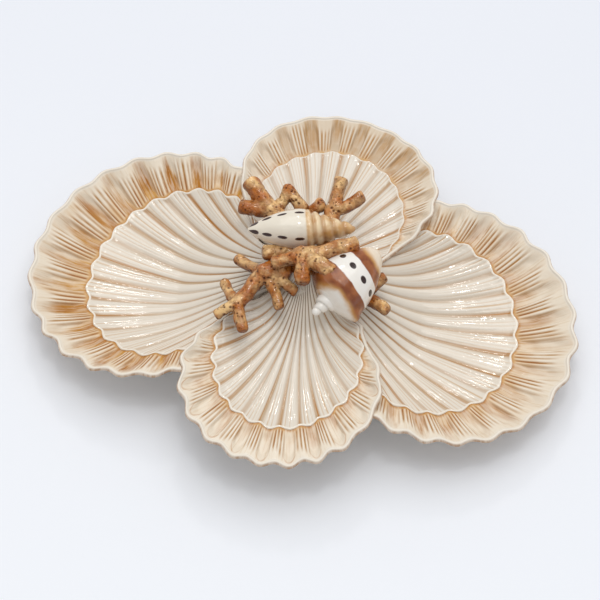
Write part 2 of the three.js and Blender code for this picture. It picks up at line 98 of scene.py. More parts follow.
# Cubic through given points, with slopes taken from their neighbours
def curveThrough(xs, ys, x):
    xs, ys = np.asarray(xs, float), np.asarray(ys, float)
    slopes = np.gradient(ys, xs)
    i = np.clip(np.searchsorted(xs, x) - 1, 0, len(xs) - 2)
    h = xs[i + 1] - xs[i]
    t = (x - xs[i]) / h
    a = (1 + 2 * t) * (1 - t) ** 2 * ys[i] + t * (1 - t) ** 2 * h * slopes[i]
    return a + t * t * (3 - 2 * t) * ys[i + 1] + t * t * (t - 1) * h * slopes[i + 1]


# Quad faces between the columns and rows of a grid, each way closed on itself or open
def gridFaces(columns, rows, closeColumns, closeRows):
    i = np.arange(columns if closeColumns else columns - 1)[:, None]
    j = np.arange(rows if closeRows else rows - 1)[None, :]
    nextI, nextJ = (i + 1) % columns, (j + 1) % rows
    corners = [i * rows + j, i * rows + nextJ, nextI * rows + nextJ, nextI * rows + j]
    return np.stack(np.broadcast_arrays(*corners), -1).reshape(-1, 4)


# A mesh object from points in millimetres, quads and other faces, with named values per point
def meshObject(name, points, quads, others, values, uv):
    mesh = bpy.data.meshes.new(name)
    points = np.asarray(points, float).reshape(-1, 3) * mm
    mesh.from_pydata(points.tolist(), [], quads.tolist() + [list(map(int, f)) for f in others])
    for key, value in values.items():
        layer = mesh.attributes.new(key, "FLOAT", "POINT")
        layer.data.foreach_set("value", np.asarray(value, np.float32).ravel())
    if uv is not None:
        layer = mesh.uv_layers.new(name="ribMap")
        index = np.empty(len(mesh.loops), np.int32)
        mesh.loops.foreach_get("vertex_index", index)
        flat = np.asarray(uv, np.float32).reshape(-1, 2)
        layer.data.foreach_set("uv", flat[index].ravel())
    mesh.polygons.foreach_set("use_smooth", np.ones(len(mesh.polygons), bool))
    mesh.update()
    piece = bpy.data.objects.new(name, mesh)
    bpy.context.scene.collection.objects.link(piece)
    return piece


# Rows of closed cross-sections, one per column, with a flat face over each end
def loftObject(name, points, values, uv):
    columns, rows = points.shape[:2]
    quads = gridFaces(columns, rows, False, True)
    ends = [np.arange(rows)[::-1], (columns - 1) * rows + np.arange(rows)]
    return meshObject(name, points, quads, ends, values, uv)


# Triangles from the first and the last ring to two end points, which follow the rings' own points
def endFans(columns, rows, base):
    near = base + np.arange(columns) * rows
    beside = np.roll(near, -1)
    start = base + columns * rows
    first = np.stack([np.full(columns, start), beside, near], 1)
    last = np.stack([np.full(columns, start + 1), near + rows - 1, beside + rows - 1], 1)
    return np.concatenate([first, last])


# Rings round an axis, closed by a single point at each end; ends holds the values at those points
def turnedObject(name, points, first, last, values, ends):
    columns, rows = points.shape[:2]
    quads = gridFaces(columns, rows, True, False)[:, ::-1]
    points = np.concatenate([points.reshape(-1, 3), [first, last]])
    values = {key: np.concatenate([np.ravel(v), ends.get(key, [0.0, 0.0])]) for key, v in values.items()}
    return meshObject(name, points, quads, endFans(columns, rows, 0), values, None)


# Material, body and solid of a finished piece; the slot is not used
def finishPiece(piece, material, slot, *nodes):
    piece.data.materials.append(material)
    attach(piece, "root")
    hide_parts(*nodes)
    return piece


# Shapes of a section: along and across are in its own plane, from the dish's centre

# Along and shifted across, turned by the section's bearing
def place(s, along, across, height):
    turn = math.radians(s["bearing"])
    side = across + s["shift"]
    x = along * math.cos(turn) - side * math.sin(turn)
    y = along * math.sin(turn) + side * math.cos(turn)
    return np.stack(np.broadcast_arrays(x, y, height), -1)


# Distance from the lip's centre to an ellipse on the section's axis, along a polar angle
def reach(s, centre, halfLength, halfWidth, polar):
    c, w = np.cos(polar) / halfLength, np.sin(polar) / halfWidth
    offset = (s["lipCentre"] - centre) / halfLength
    a, b = c * c + w * w, offset * c
    return (-b + np.sqrt(b * b - a * (offset * offset - 1))) / a


# Distance from the lip's centre to the lip
def lipReach(s, polar):
    return reach(s, s["lipCentre"], s["lipLength"], s["lipWidth"], polar)


# The rim ellipse, blended into a narrow welt round the lip where it would fall inside it
def rimReach(s, polar):
    outer = reach(s, s["rimCentre"], s["rimLength"], s["rimWidth"], polar)
    welt = lipReach(s, polar) + clay["welt"]
    return 0.5 * (outer + welt + np.sqrt((outer - welt) ** 2 + clay["weltBlend"] ** 2))


# Direction from the lip's centre to the lip at an angle of its ellipse
def polarOf(s, angle):
    return np.arctan2(s["lipWidth"] * np.sin(angle), s["lipLength"] * np.cos(angle))


# How far the band stands out: 1 where broad, 0 where it has died away
def bandStrength(s, angle):
    polar = polarOf(s, angle)
    return smoothStep(clay["bandGone"], clay["bandBroad"], rimReach(s, polar) - lipReach(s, polar))


# The lip drops by a cosine towards the section's tip
def lipHeightAt(s, angle):
    return s["lipHeight"] - s["lipDrop"] * np.cos(angle)


# The rim drops by a cosine and its double, and comes down to the lip where the band dies away
def rimHeightAt(s, angle):
    full = s["rimHeight"] - s["rimDrop"] * np.cos(angle) - s["rimSide"] * np.cos(2 * angle)
    low = lipHeightAt(s, angle)
    return low + (full - low) * bandStrength(s, angle)


# Smooth dish: a flat floor that climbs to the lip, and near the hub up a bell
def dishHeight(s, along, across):
    x, y = (along - s["lipCentre"]) / s["lipLength"], across / s["lipWidth"]
    angle = np.arctan2(y, x)
    curve = s["tipCurve"] + (s["hingeCurve"] - s["tipCurve"]) * (1 - np.cos(angle)) / 2
    climb = (lipHeightAt(s, angle) - s["floor"]) * np.hypot(x, y) ** curve
    toHub = np.minimum(np.hypot(along, across) / s["hubReach"], 1.0)
    return s["floor"] + climb + s["hubRise"] * (1 + np.cos(np.pi * toHub)) / 2


# Underside of a small section over a point of the table, and how far inside its rim the point is
def coverOver(s, x, y):
    turn = math.radians(s["bearing"])
    along = x * math.cos(turn) + y * math.sin(turn)
    across = -x * math.sin(turn) + y * math.cos(turn) - s["shift"]
    dx = along - s["lipCentre"]
    polar, far = np.arctan2(across, dx), np.hypot(dx, across)
    angle = np.arctan2(across / s["lipWidth"], dx / s["lipLength"])
    lip, rim = lipReach(s, polar), rimReach(s, polar)
    share = np.clip((far - lip) / (rim - lip), 0, 1)
    low = lipHeightAt(s, angle) - clay["lipStep"]
    band = low + (rimHeightAt(s, angle) - low) * share ** clay["bandCurve"]
    under = np.where(far < lip, dishHeight(s, along, across), band) - clay["wall"]
    return under - clay["gap"], rim - far


# The large sections duck under the small ones: height is held below their undersides
def duck(points, depth):
    x, y, z = points[..., 0], points[..., 1], points[..., 2]
    for name in ("front", "back"):
        under, inside = coverOver(sections[name], x, y)
        hold = smoothStep(ducking["from"], ducking["to"], inside)
        z = z - np.maximum(0, z - (under - depth)) * hold
    return np.stack([x, y, z], -1)


# Rib relief by phase: 0 on the crest, 1 in the groove, a broad hollow with a narrow cleft in it
def grooveShape(phase):
    w = np.abs(np.sin(np.pi * phase))
    return 0.5 * w ** 2 + 0.5 * w ** 7


# A share of the way from the hinge to the lip, drawn in sideways by the flare
def ribLine(s, angle, share):
    lipAlong = s["lipCentre"] + s["lipLength"] * np.cos(angle)
    lipAcross = s["lipWidth"] * np.sin(angle)
    along = s["hinge"] + (lipAlong - s["hinge"]) * share
    across = lipAcross * (share - s["flare"] * share * (1 - share))
    return along, across


# A point a distance out from the lip
def lipPoint(s, angle, out):
    polar = polarOf(s, angle)
    far = lipReach(s, polar) + out
    return s["lipCentre"] + far * np.cos(polar), far * np.sin(polar)


# Sideways wander of the ribs, as a share of their spacing
def ribWander(s, phase):
    return 0.06 * waves(phase * 2.1, 0 * phase, s["seed"])


# The lip's scallops: out on a rib's crest, in at a groove, a little uneven
def lipWave(s, phase):
    groove = grooveShape(phase + ribWander(s, phase))
    uneven = 0.4 * waves(phase * 4, 0 * phase, s["seed"] + 2)
    return s["lipScallop"] * (1 - 2 * groove ** 0.7) + uneven


# Inner dish: ribs from the hub to a scalloped raised lip, rolled over to a ledge, and a plain underside
def innerShell(name, s):
    detail = {"perRib": 48, "rows": 64, "crowd": 1.35, "depth": 1.6, "depthShare": 0.2, "fanArc": 2.6,
              "leastRun": 8.0, "lipFade": 0.45, "hairs": 5, "hair": 0.08, "push": 5.0, "lipRise": 0.5,
              "lipSpread": 2.4, "lipGlaze": 1.2, "roll": 6, "ledgeIn": 1.2, "ledgeDrop": 1.6,
              "under": 8, "underEdge": 0.96}
    count = int(2 * s["fan"] * detail["perRib"]) + 1
    phase = np.linspace(-s["fan"], s["fan"], count)[:, None]
    angle = phase * 2 * np.pi / s["ribs"]
    phase = phase + s["phase"]
    polar = polarOf(s, angle)
    lipU, lipV = ribLine(s, angle, 1.0)
    length = np.hypot(lipU - s["hinge"], lipV)
    start = s["start"] / length
    step = np.linspace(0, 1, detail["rows"])[None, :]
    share = start + (1 - start) * (1 - (1 - step) ** detail["crowd"])
    along, across = ribLine(s, angle, share)
    fullness = np.hypot((along - s["lipCentre"]) / s["lipLength"], across / s["lipWidth"])
    toLip = np.maximum(0, 1 - fullness) * lipReach(s, polar)

    # Grooves as deep as the ribs' spacing allows, and hair lines towards the lip
    spacing = np.maximum(share * length, detail["leastRun"]) * detail["fanArc"] / s["ribs"]
    local = phase + ribWander(s, phase) * share
    groove = grooveShape(local)
    depth = np.minimum(detail["depthShare"] * spacing, detail["depth"])
    depth = depth * (1 - detail["lipFade"] * smoothStep(0.7, 1.0, share))
    hair = detail["hairs"] * local + 0.5 * waves(phase * 3, share * 2, s["seed"] + 1)
    hair = np.sin(2 * np.pi * hair) + 0.6 * waves(phase * 26, share * 3, s["seed"] + 5)
    height = dishHeight(s, along, across) - depth * groove
    height = height + detail["hair"] * hair * smoothStep(0.4, 0.85, share) * (1 - 0.6 * groove)

    # The lip, pushed out and in by its scallops, then its roll, the ledge under it and the underside
    scallop = lipWave(s, phase)
    push = scallop * np.exp(-toLip / detail["push"])
    along, across = along + push * np.cos(polar), across + push * np.sin(polar)
    height = height + detail["lipRise"] * np.exp(-(toLip / detail["lipSpread"]) ** 2)
    top = place(s, along, across, height)
    level = lipHeightAt(s, angle)
    crest = level - depth[:, -1:] * groove[:, -1:] + detail["lipRise"]
    fall = crest - level + clay["lipStep"]
    bend = np.linspace(0.2, 1, detail["roll"])[None, :] * np.pi / 2
    u, v = lipPoint(s, angle, scallop + clay["lipRoll"] * np.sin(bend))
    roll = place(s, u, v, crest - fall * (1 - np.cos(bend)))
    u, v = lipPoint(s, angle, scallop - detail["ledgeIn"])
    ledge = place(s, u, v, level - clay["lipStep"] - detail["ledgeDrop"])
    back = np.linspace(0, 1, detail["under"])[None, :]
    back = detail["underEdge"] + (start - detail["underEdge"]) * back
    u, v = ribLine(s, angle, back)
    under = place(s, u, v, dishHeight(s, u, v) - clay["wall"])
    if s["ducks"]:
        top, roll = duck(top, ducking["top"]), duck(roll, ducking["top"])
        ledge, under = duck(ledge, ducking["ledge"]), duck(under, ducking["under"])
    points = np.concatenate([top, roll, ledge, under], 1)

    # What the glaze reads: values on the top face, and one value for all that follows it
    tail = points.shape[1] - detail["rows"]
    wide = lambda head, end: np.concatenate([head, np.broadcast_to(end, (count, tail))], 1)
    strokes = smoothStep(0.2, 1.2, -hair) * smoothStep(0.45, 0.95, share) * (1 - groove)
    nearLip = np.exp(-toLip / detail["lipGlaze"])
    values = {
        "strokes": wide(strokes, 0.0),
        "groove": wide(groove, 0.0),
        "run": wide(share, 1.0),
        "lip": wide(nearLip * s["lipWhite"], s["lipWhite"]),
    }
    uv = np.stack([wide(phase + 0 * share, phase), wide(share, 1.0)], -1)
    return loftObject(name + "InnerShell", points, values, uv)


# Outer band: flat flutes with rounded ends on the rim's crests, fine ridges between them, and a rolled rim
def outerShell(name, s):
    detail = {"perRib": 60, "rows": 44, "lean": 4.0, "wander": 0.08, "uneven": 0.35, "wave": 0.35,
              "tuck": 0.4, "least": 0.5, "seat": 0.1, "flat": 1.2, "mostFlat": 0.7,
              "flute": 1.9, "fluteHalf": (0.17, 0.27), "fluteEnd": 0.97, "endRound": 0.2, "endHalf": 0.24,
              "ridge": 0.55, "ridges": 7, "ridgeMean": 0.4, "ridgeEnd": (0.66, 0.92),
              "hiddenIn": 1.2, "hiddenDrop": 2.2, "bead": 1.4, "beadRows": 9, "beadTurn": 1.05,
              "beadOut": 0.95, "under": 6, "underLift": 1.0, "farFromLip": 40.0}
    count = int(2 * s["bandFan"] * detail["perRib"]) + 1
    phase = np.linspace(-s["bandFan"], s["bandFan"], count)[:, None]
    angle = phase * 2 * np.pi / s["ribs"]
    phase = phase + s["phase"]
    strength = bandStrength(s, angle)
    polar = polarOf(s, angle)
    lean = polar - math.radians(detail["lean"]) * np.sin(polar) * strength
    local = phase + detail["wander"] * waves(phase * 1.7, 0 * phase, s["seed"] + 3)
    crest = np.cos(2 * np.pi * local)
    uneven = 1 + detail["uneven"] * waves(phase * 1.3, 0 * phase, s["seed"] + 4)

    # From under the lip to the wavy rim, never narrower than the least width
    tuck = lipWave(s, phase) + clay["lipRoll"] - detail["tuck"]
    fromU, fromV = lipPoint(s, angle, tuck)
    rim = rimReach(s, lean) + s["wavy"] * crest * strength * uneven - detail["bead"]
    rim = np.maximum(rim, lipReach(s, polar) + tuck + detail["least"])
    toU, toV = s["lipCentre"] + rim * np.cos(lean), rim * np.sin(lean)
    share = np.linspace(0, 1, detail["rows"])[None, :]
    along, across = fromU + (toU - fromU) * share, fromV + (toV - fromV) * share
    width = np.hypot(toU - fromU, toV - fromV)
    flat = np.minimum(detail["flat"] / width, detail["mostFlat"])
    climb = np.clip((share - flat) / (1 - flat), 0, 1)
    seat = lipHeightAt(s, angle) - clay["lipStep"] - detail["seat"]
    top = rimHeightAt(s, angle)
    height = seat + (top - seat) * climb ** clay["bandCurve"]

    # Flutes with rounded ends, and groups of fine ridges that fade towards the rim
    aside = np.abs((local + 0.5) % 1.0 - 0.5)
    flute = 1 - smoothStep(*detail["fluteHalf"], aside)
    end = detail["fluteEnd"] - detail["endRound"] * (aside / detail["endHalf"]) ** 2
    scoop = flute * smoothStep(0.02, 0.3, climb) * (1 - smoothStep(end - 0.3, end, climb))
    jitter = 0.035 * waves(phase * 8, share * 1.2, s["seed"] + 8)
    ridge = 0.5 + 0.5 * np.cos(2 * np.pi * detail["ridges"] * (local + jitter))
    vary = 1 + 0.5 * waves(phase * 9, share * 1.5, s["seed"] + 6)
    fade = climb + 0.12 * waves(phase * 7, 0 * phase, s["seed"] + 7)
    lasts = smoothStep(0.0, 0.08, climb) * (1 - smoothStep(*detail["ridgeEnd"], fade))
    height = height - detail["flute"] * strength * scoop
    height = height + detail["ridge"] * strength * (1 - flute) * lasts * vary * (ridge - detail["ridgeMean"])
    rise = -detail["wave"] * crest * strength * uneven
    height = height + rise * smoothStep(0.55, 1.0, climb)
    face = place(s, along, across, height)
    u, v = lipPoint(s, angle, tuck - detail["hiddenIn"])
    hidden = place(s, u, v, seat - detail["hiddenDrop"])

    # The bead turns out and over the rim, and the underside runs back to the lip
    turn = np.linspace(0.12, 1.0, detail["beadRows"])[None, :] * np.pi * detail["beadTurn"]
    far = rim + detail["bead"] * (1 - np.cos(turn)) * detail["beadOut"]
    lift = detail["bead"] * (np.sin(turn) - detail["beadOut"] * turn / np.pi)
    bead = place(s, s["lipCentre"] + far * np.cos(lean), far * np.sin(lean), height[:, -1:] + lift)
    back = np.linspace(1.0, 0, detail["under"])[None, :]
    u, v = fromU + (toU - fromU) * back, fromV + (toV - fromV) * back
    climbBack = np.clip((back - flat) / (1 - flat), 0, 1)
    below = seat + (top + rise - seat) * climbBack ** clay["bandCurve"] - clay["wall"]
    under = place(s, u, v, below + detail["underLift"] * back ** 6)
    if s["ducks"]:
        face, bead = duck(face, ducking["top"]), duck(bead, ducking["bead"])
        under, hidden = duck(under, ducking["under"]), duck(hidden, ducking["ledge"])
    points = np.concatenate([hidden, face, bead, under], 1)

    # What the glaze reads, on the hidden edge, the face, the bead and the underside
    parts = (1, detail["rows"], detail["beadRows"], detail["under"])
    wide = lambda *values: np.concatenate([np.broadcast_to(v, (count, n)) for v, n in zip(values, parts)], 1)
    overBead = np.linspace(0, 1, detail["beadRows"])[None, :]
    outline = np.exp(-((climb - end) / 0.03) ** 2) * (1 - smoothStep(0.2, 0.26, aside))
    # Painted shade for the band, strongest round the section's tip and fading towards its sides
    shade = s["scoop"] * (1 - 0.8 * smoothStep(0.45, 1.4, np.abs(angle)))
    far = detail["farFromLip"]
    values = {
        "outline": wide(0.0, outline * strength * s["ring"], 0.0, 0.0),
        "valley": wide(0.0, (1 - flute) * (1 - ridge) ** 1.6 * lasts * strength, 0.0, 0.0),
        "ridgeTop": wide(0.0, (1 - flute) * ridge ** 1.5 * lasts * strength, 0.0, 0.0),
        "flute": wide(0.0, flute * strength, 0.0, 0.0),
        "run": wide(0.0, climb, 1.0, 1.0),
        "fromLip": wide(0.0, share * width, far, far),
        "bead": wide(0.0, smoothStep(0.94, 1.0, climb), 1 - smoothStep(0.6, 0.9, overBead), 0.0),
        "edge": wide(0.0, 0.0, smoothStep(0.42, 0.72, overBead), 0.3),
        "pool": np.full((count, sum(parts)), s["pool"]),
        # scoop carries the painted shade
        "scoop": np.broadcast_to(shade, (count, sum(parts))),
        "rich": np.full((count, sum(parts)), s["rich"]),
    }
    uv = np.stack([wide(phase, phase, phase, phase), wide(1.0, 1 + climb, 2.0 + 0.1 * overBead, 2.2)], -1)
    return loftObject(name + "OuterShell", points, values, uv)


# Materials

# A new node with its settings
def nodeOf(tree, kind, **settings):
    node = tree.nodes.new(kind)
    for key, value in settings.items():
        setattr(node, key, value)
    return node


# A link from one socket to another
def wire(tree, source, target):
    tree.links.new(source, target)


# Two numbers or sockets through one sum
def valueNode(tree, operation, a, b, clamp=False):
    node = nodeOf(tree, "ShaderNodeMath", operation=operation, use_clamp=clamp)
    for socket, value in zip(node.inputs, (a, b)):
        if isinstance(value, (int, float)):
            socket.default_value = value
        else:
            wire(tree, value, socket)
    return node.outputs[0]


# Product, sum and difference in one tree
def sumsIn(tree):
    times = lambda a, b: valueNode(tree, "MULTIPLY", a, b)
    plus = lambda a, b: valueNode(tree, "ADD", a, b)
    less = lambda a, b: valueNode(tree, "SUBTRACT", a, b)
    return times, plus, less


# From colour a at factor 0 to colour b at 1
def mixNode(tree, factor, a, b):
    node = nodeOf(tree, "ShaderNodeMix", data_type="RGBA")
    for socket, value in ((node.inputs[0], factor), (node.inputs[6], a), (node.inputs[7], b)):
        if isinstance(value, tuple):
            socket.default_value = (*value, 1.0)
        else:
            wire(tree, value, socket)
    return node.outputs[2]


# Eased step of a value from 0 at low to 1 at high
def rampNode(tree, value, low, high):
    node = nodeOf(tree, "ShaderNodeMapRange", interpolation_type="SMOOTHSTEP")
    node.inputs["From Min"].default_value = low
    node.inputs["From Max"].default_value = high
    wire(tree, value, node.inputs["Value"])
    return node.outputs[0]


# The named values of a mesh's points, in turn
def attributes(tree, *names):
    return [nodeOf(tree, "ShaderNodeAttribute", attribute_name=name).outputs["Fac"] for name in names]


# Place on the piece, in metres
def objectPoint(tree):
    return nodeOf(tree, "ShaderNodeTexCoord").outputs["Object"]


# Cloudy noise, stretched by a factor on each axis
def noiseNode(tree, vector, scale, detail, stretch=(1, 1, 1), roughness=0.5):
    mapping = nodeOf(tree, "ShaderNodeMapping")
    mapping.inputs["Scale"].default_value = stretch
    wire(tree, vector, mapping.inputs["Vector"])
    node = nodeOf(tree, "ShaderNodeTexNoise")
    node.inputs["Scale"].default_value = scale
    node.inputs["Detail"].default_value = detail
    node.inputs["Roughness"].default_value = roughness
    wire(tree, mapping.outputs[0], node.inputs["Vector"])
    return node.outputs["Fac"]


# sRGB 0 to 255 to the linear colour that shaders use
def colour(r, g, b):
    part = lambda v: v / 12.92 if v <= 0.04045 else ((v + 0.055) / 1.055) ** 2.4
    return tuple(part(v / 255) for v in (r, g, b))


# Named tones as linear colours
def palette(**tones):
    return {key: colour(*tone) for key, tone in tones.items()}


# A new material with its node tree and shader
def newMaterial(name):
    material = bpy.data.materials.new(name)
    material.use_nodes = True
    shader = material.node_tree.nodes["Principled BSDF"]
    return material, material.node_tree, shader


# Streaks that run with the ribs: fine hair lines and broad soft washes, from the run map
def streakGroup():
    group = bpy.data.node_groups.new("glazeStreaks", "ShaderNodeTree")
    group.interface.new_socket("Run", in_out="INPUT", socket_type="NodeSocketVector")
    for name in ("Hair", "Wash", "Blot"):
        group.interface.new_socket(name, in_out="OUTPUT", socket_type="NodeSocketFloat")
    source = group.nodes.new("NodeGroupInput").outputs["Run"]
    result = group.nodes.new("NodeGroupOutput")
    hair = noiseNode(group, source, 1.0, 3.0, (14.0, 0.9, 1.0), 0.65)
    wash = noiseNode(group, source, 1.0, 2.0, (1.7, 0.8, 1.0))
    blot = noiseNode(group, source, 1.0, 4.0, (5.5, 1.1, 1.0), 0.65)
    wire(group, rampNode(group, hair, 0.52, 0.66), result.inputs["Hair"])
    wire(group, rampNode(group, wash, 0.36, 0.66), result.inputs["Wash"])
    wire(group, rampNode(group, blot, 0.4, 0.62), result.inputs["Blot"])
    return group


streaks = streakGroup()
cream = colour(231, 222, 208)
white = colour(240, 232, 218)
tan = colour(200, 166, 110)
ochre = colour(178, 112, 16)
brown = colour(146, 88, 24)


# Hair, wash and blot of the streaks on a piece's rib map
def streakOutputs(tree):
    uv = nodeOf(tree, "ShaderNodeUVMap", uv_map="ribMap")
    node = nodeOf(tree, "ShaderNodeGroup", node_tree=streaks)
    wire(tree, uv.outputs[0], node.inputs["Run"])
    return node.outputs["Hair"], node.outputs["Wash"], node.outputs["Blot"]


# Glaze: a base colour under a thin clear coat, both faintly rippled
def glazeShader(tree, shader, baseColour, rough, coat=0.3, shine=0.5):
    ripple = {"scale": 220.0, "strength": 0.25, "height": 0.001}
    wire(tree, baseColour, shader.inputs["Base Color"])
    shader.inputs["Roughness"].default_value = rough
    shader.inputs["Coat Weight"].default_value = coat
    shader.inputs["Coat Roughness"].default_value = 0.06
    shader.inputs["Specular IOR Level"].default_value = shine
    bump = nodeOf(tree, "ShaderNodeBump")
    bump.inputs["Strength"].default_value = ripple["strength"]
    bump.inputs["Distance"].default_value = ripple["height"]
    wire(tree, noiseNode(tree, objectPoint(tree), ripple["scale"], 2.0), bump.inputs["Height"])
    wire(tree, bump.outputs[0], shader.inputs["Normal"])
    wire(tree, bump.outputs[0], shader.inputs["Coat Normal"])


# Dish: cream, stained in the grooves and strokes, darker at the heart, white on the lip
def dishMaterial():
    tone = palette(cleft=(176, 138, 84), stroke=(194, 144, 72), heart=(122, 100, 76))
    material, tree, shader = newMaterial("ribbedGlaze")
    times, plus, less = sumsIn(tree)
    hair, wash, blot = streakOutputs(tree)
    groove, run, lip, strokes = attributes(tree, "groove", "run", "lip", "strokes")
    cleft = rampNode(tree, groove, 0.42, 0.98)
    line = times(cleft, plus(0.45, times(wash, 0.5)))
    base = mixNode(tree, times(line, 0.7), cream, tone["cleft"])
    marks = times(strokes, plus(0.3, times(blot, 0.7)))
    base = mixNode(tree, times(marks, 0.85), base, tone["stroke"])
    base = mixNode(tree, times(times(hair, rampNode(tree, run, 0.4, 0.9)), 0.22), base, tan)
    deep = times(times(rampNode(tree, groove, 0.6, 1.0), blot), plus(0.25, wash))
    base = mixNode(tree, times(deep, 0.85), base, ochre)
    heart = less(1.0, rampNode(tree, run, 0.2, 0.5))
    base = mixNode(tree, times(times(heart, cleft), 0.75), base, tone["heart"])
    base = mixNode(tree, rampNode(tree, lip, 0.35, 0.75), base, white)
    glazeShader(tree, shader, base, 0.08)
    return material


# Band: cream, ochre pooled in the flutes from the lip outwards, fine lines, white bead and worn edge, and
# painted shade where the band faces away from the light
def bandMaterial():
    tone = palette(ground=(239, 227, 208), shade=(198, 176, 148), thin=(205, 151, 58), thick=(170, 104, 8),
                   between=(208, 156, 68), outer=(176, 126, 54), thread=(176, 124, 54),
                   deepThread=(152, 86, 8), ridge=(244, 236, 222), edge=(160, 100, 30))
    material, tree, shader = newMaterial("flutedGlaze")
    times, plus, less = sumsIn(tree)
    hair, wash, blot = streakOutputs(tree)
    outline, valley, ridgeTop, flute, run = attributes(tree, "outline", "valley", "ridgeTop", "flute", "run")
    fromLip, bead, edge = attributes(tree, "fromLip", "bead", "edge")
    pool, scoop, rich = attributes(tree, "pool", "scoop", "rich")
    ends = plus(pool, plus(times(less(wash, 0.5), 0.5), times(less(blot, 0.5), 0.12)))
    pooled = less(1.0, rampNode(tree, less(run, ends), -0.45, 0.32))
    base = mixNode(tree, times(hair, 0.25), tone["ground"], tan)
    # Painted shade: the band greys where scoop is high, more in the flutes
    base = mixNode(tree, times(scoop, plus(0.68, times(flute, 0.32))), base, tone["shade"])
    stain = mixNode(tree, wash, tone["thin"], tone["thick"])
    depth = times(plus(0.42, plus(times(blot, 0.3), times(hair, 0.4))), rich)
    base = mixNode(tree, valueNode(tree, "MULTIPLY", times(pooled, flute), depth, True), base, stain)
    base = mixNode(tree, times(times(pooled, less(1.0, flute)), 0.75), base, tone["between"])
    # Tan stain in the outer part of the flutes, in step with the painted shade
    outer = times(times(flute, scoop), rampNode(tree, plus(run, times(wash, 0.4)), 0.2, 0.8))
    outer = times(outer, plus(0.22, plus(times(blot, 0.45), times(hair, 0.35))))
    base = mixNode(tree, outer, base, tone["outer"])
    lines = valueNode(tree, "MULTIPLY", valley, plus(0.6, times(blot, 0.5)), True)
    base = mixNode(tree, lines, base, mixNode(tree, pooled, tone["thread"], tone["deepThread"]))
    base = mixNode(tree, times(times(pooled, times(hair, blot)), 0.3), base, brown)
    # Ridge tops whiten less where painted shade lies
    bright = times(plus(0.3, times(blot, 0.4)), less(1.0, times(scoop, 0.6)))
    base = mixNode(tree, times(ridgeTop, bright), base, tone["ridge"])
    base = mixNode(tree, times(outline, plus(0.25, times(wash, 0.55))), base, ochre)
    seam = less(1.0, rampNode(tree, fromLip, 0.7, 2.9))
    seam = times(seam, less(1.0, times(scoop, 0.7)))
    base = mixNode(tree, times(seam, plus(0.42, times(blot, 0.45))), base, ochre)
    base = mixNode(tree, times(bead, 0.9), base, white)
    base = mixNode(tree, times(edge, plus(0.32, times(blot, 0.4))), base, tone["edge"])
    glazeShader(tree, shader, base, 0.38, 0.05, 0.35)
    return material


# One tone with slightly darker patches
def plainMaterial(name, tone, rough):
    material, tree, shader = newMaterial(name)
    patch = rampNode(tree, noiseNode(tree, objectPoint(tree), 60.0, 3.0), 0.35, 0.7)
    base = mixNode(tree, patch, tone, tuple(0.82 * v for v in tone))
    glazeShader(tree, shader, base, rough)
    return material


dishGlaze = dishMaterial()
bandGlaze = bandMaterial()
hubGlaze = plainMaterial("hubGlaze", cream, 0.3)
footClay = plainMaterial("footClay", colour(214, 202, 184), 0.6)

for key, section in sections.items():
    finishPiece(innerShell(key, section), dishGlaze, "ivory_glaze", key + "_inner_shell")
    finishPiece(outerShell(key, section), bandGlaze, "stained_glaze", key + "_outer_shell")
print("shells built")


# Hub: a hollow turned pillar with a domed top, open underneath; its profile runs from the hollow outwards
def hubPiece():
    size = {"radius": 20.0, "wall": 5.0, "foot": 31.0, "footEdge": 4.0, "flare": 4.0, "flareAt": 17.0,
            "waist": 26.0, "shoulder": 50.0, "top": 55.5, "sides": 96}
    radius, foot, waist, shoulder, top = (size[key] for key in ("radius", "foot", "waist", "shoulder", "top"))
    inner = radius - size["wall"]
    r = np.array([inner * 0.5, inner, inner, foot - size["wall"], foot, foot, radius + size["flare"],
                  radius, radius, radius * 0.9, radius * 0.7, radius * 0.35])
    z = np.array([shoulder - 1, shoulder - 6, waist, 0, 0, size["footEdge"], size["flareAt"],
                  waist + 2, shoulder, shoulder + 3.4, top - 1.4, top - 0.3])
    turn = np.linspace(0, 2 * np.pi, size["sides"], endpoint=False)[:, None]
    points = np.stack(np.broadcast_arrays(r * np.cos(turn), r * np.sin(turn), z), -1)
    return turnedObject("hubPillar", points, (0, 0, shoulder - 0.5), (0, 0, top), {}, {})


finishPiece(hubPiece(), hubGlaze, "ivory_glaze", "hub")


# Foot ring: an oval band from the table to the dish's underside, with eased edges
def footPiece(name, s):
    size = {"centre": 112.0, "halfLength": 27.0, "halfWidth": 24.0, "width": 6.0, "ease": 0.8, "sides": 120}
    width, ease = size["width"], size["ease"]
    turn = np.linspace(0, 2 * np.pi, size["sides"], endpoint=False)[:, None]
    inset = np.array([[width, width, 0, 0, ease, width - ease]])
    along = size["centre"] + (size["halfLength"] - inset) * np.cos(turn)
    across = (size["halfWidth"] - inset) * np.sin(turn)
    seat = dishHeight(s, along, across) - clay["wall"] - clay["gap"]
    low = np.array([[ease, np.inf, np.inf, ease, 0, 0]])  # the endless ones stop at the seat
    points = place(s, along, across, np.minimum(seat, low))
    quads = gridFaces(points.shape[0], points.shape[1], True, True)
    return meshObject(name + "FootRing", points, quads, [], {}, None)


for key in ("right", "left"):
    finishPiece(footPiece(key, sections[key]), footClay, "foot_clay", key + "_foot")
print("hub and feet built")


# Snail shells: rings along an axis; angles are measured from the side that faces up and forward
showSide = np.array([0.1455, -0.5257, 0.8382])


# Start, direction and length of an axis, and two directions square to it
def axisFrame(start, end, flip):
    start, end = np.array(start, float), np.array(end, float)
    axis = (end - start) / np.linalg.norm(end - start)
    side = showSide - axis * np.dot(showSide, axis)
    side = side / np.linalg.norm(side)
    return start, axis, np.linalg.norm(end - start), side, np.cross(axis, side) * flip


# First and last point of an axis
def axisEnds(base):
    return base[0], base[0] + base[1] * base[2]


# Points at a radius and a turn round the axis, at a share of its length
def ringPoints(base, along, radius, turn):
    start, axis, length, side, up = base
    spread = radius[..., None] * (np.cos(turn)[..., None] * side + np.sin(turn)[..., None] * up)
    return start + along[..., None] * length * axis + spread


